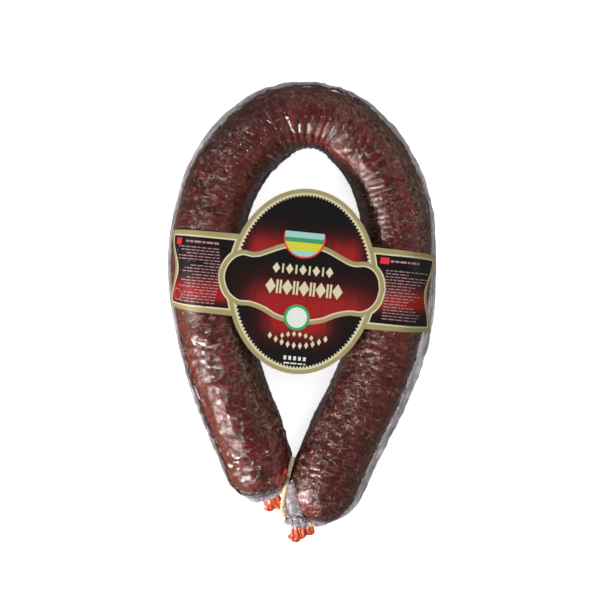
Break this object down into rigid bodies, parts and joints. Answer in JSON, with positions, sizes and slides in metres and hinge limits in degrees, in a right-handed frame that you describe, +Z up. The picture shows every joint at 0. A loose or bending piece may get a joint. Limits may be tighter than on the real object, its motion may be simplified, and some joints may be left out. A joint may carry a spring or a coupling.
{
  "type": "cured sausage",
  "caption": "Horseshoe-shaped cured beef sausage with tied ends, in clear shrink film, with a plain die-cut label across both arms.",
  "frame": {"origin": "on the resting plane, under the middle of the whole outline", "axes": "+Y from the tied ends to the arch, +Z up, +X from the shorter arm to the longer one"},
  "size_m": [0.1671, 0.2861, 0.0418],
  "materials": {
    "casing": "mottled dark red-brown cured casing, satin",
    "film": "clear creased film, glossy",
    "casing_tail": "translucent orange-red gathered casing, satin",
    "string": "cream twisted cotton twine",
    "label": "satin coated stock in black and red with olive-gold borders"
  },
  "bodies": {
    "root": {"sausage": "casing", "film_bag": "film", "casing_tail_left": "casing_tail", "casing_tail_right": "casing_tail", "tie_string_left": "string", "tie_string_right": "string", "label": "label"}
  },
  "joints": []
}
